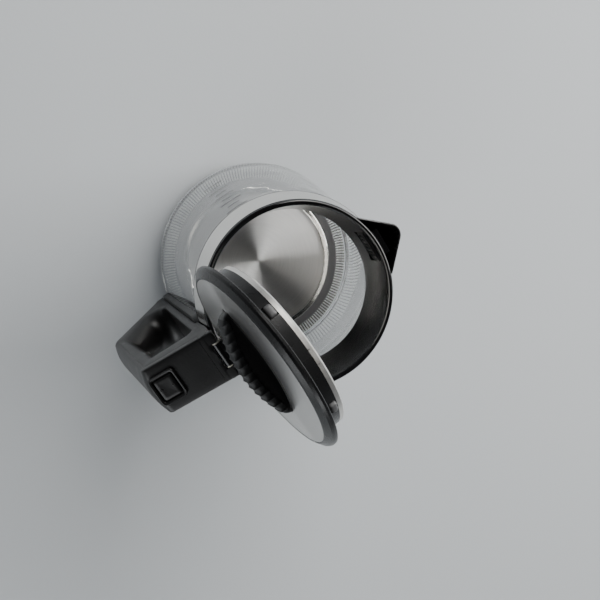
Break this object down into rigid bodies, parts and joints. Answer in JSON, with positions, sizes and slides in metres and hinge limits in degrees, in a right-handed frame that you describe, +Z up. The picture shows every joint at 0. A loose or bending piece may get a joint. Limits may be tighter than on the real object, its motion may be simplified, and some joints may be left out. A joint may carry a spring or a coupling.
{
  "type": "electric kettle",
  "caption": "Cordless glass electric kettle with hinged lid, steel-banded collar, pouring spout with filter, wide loop handle and rocker switch.",
  "frame": {"origin": "centre of the connector socket's mouth, on the plane the kettle stands on", "axes": "+Z up, +X towards the spout, handle towards -X, mirror plane Y = 0"},
  "size_m": [0.2124, 0.16, 0.3291],
  "materials": {
    "glass": "clear borosilicate, fire polished",
    "ribbed_clear": "clear moulded, finely ribbed",
    "print_grey": "screen printed",
    "brushed_steel": "spun brushed",
    "polished_steel": "polished",
    "silicone_grey": "moulded matt",
    "aluminium": "cast",
    "element_sheath": "heat tinted",
    "ivory_plastic": "moulded",
    "bimetal": "stamped",
    "gloss_black": "moulded, polished",
    "satin_black": "moulded, fine spark texture",
    "brass": "turned",
    "board_green": "lacquered",
    "led_clear": "clear",
    "screw_steel": "zinc plated",
    "steel_mesh": "woven",
    "wire_red": "extruded",
    "rubber_black": "moulded, ribbed"
  },
  "bodies": {
    "jug": {"glass_body": "glass", "level_marks": "print_grey", "light_ring": "ribbed_clear", "heating_plate": "brushed_steel", "plate_clamp_ring": "polished_steel", "plate_seal": "silicone_grey", "heat_spreader": "aluminium", "heating_element": "element_sheath", "thermostat_control": "ivory_plastic", "thermostat_discs": "bimetal", "cordless_connector": "gloss_black", "connector_contacts": "brass", "led_board": "board_green", "leds": "led_clear", "base_housing": "satin_black", "base_cover": "satin_black", "base_screws": "screw_steel", "collar": "gloss_black", "collar_band": "polished_steel", "collar_seal": "silicone_grey", "spout": "gloss_black", "spout_grille": "gloss_black", "handle_mount": "satin_black", "handle_shell": "satin_black", "handle_cover": "satin_black", "handle_screws": "screw_steel", "switch_bezel": "gloss_black", "rocker_pin": "screw_steel", "lever_pin": "screw_steel", "steam_disc": "bimetal", "microswitch": "satin_black", "switch_spring": "screw_steel", "steam_tube": "ivory_plastic", "wire_harness": "wire_red", "hinge_pin": "screw_steel", "hinge_washers": "ivory_plastic"},
    "lid": {"lid_ring": "gloss_black", "lid_top_plate": "brushed_steel", "lid_under_plate": "polished_steel", "lid_grip": "satin_black", "grip_pad": "rubber_black", "lid_screws": "screw_steel"},
    "catch_left": {"snap_tab_left": "satin_black"},
    "catch_right": {"snap_tab_right": "satin_black"},
    "filter": {"filter_frame": "satin_black", "filter_mesh": "steel_mesh"},
    "rocker": {"switch_rocker": "satin_black"},
    "lever": {"trip_lever": "ivory_plastic"}
  },
  "joints": [
    {"name": "lid_hinge", "type": "hinge", "parent": "jug", "child": "lid", "pos_m": [-0.059, 0, 0.214], "axis": [0, -1, 0], "range_deg": [-78, 7]},
    {"name": "catch_left_press", "type": "slide", "parent": "lid", "child": "catch_left", "axis": [-0.1703, -0.5736, -0.8013], "range_m": [0, 0.0016], "stiffness_N_per_m": 300, "springref_m": -0.001},
    {"name": "catch_right_press", "type": "slide", "parent": "lid", "child": "catch_right", "axis": [-0.1703, 0.5736, -0.8013], "range_m": [0, 0.0016], "stiffness_N_per_m": 300, "springref_m": -0.001},
    {"name": "filter_pull", "type": "slide", "parent": "jug", "child": "filter", "axis": [-1, 0, 0], "range_m": [0, 0.02]},
    {"name": "switch_tilt", "type": "hinge", "parent": "jug", "child": "rocker", "pos_m": [-0.0979, 0, 0.20288], "axis": [0, -1, 0], "range_deg": [0, 9]},
    {"name": "lever_tilt", "type": "hinge", "parent": "jug", "child": "lever", "pos_m": [-0.0838, 0, 0.20178], "axis": [0, 1, 0], "range_deg": [0, 6]}
  ],
  "couplings": [
    {"joint": "lever_tilt", "follows": "switch_tilt", "ratio": 0.62}
  ]
}
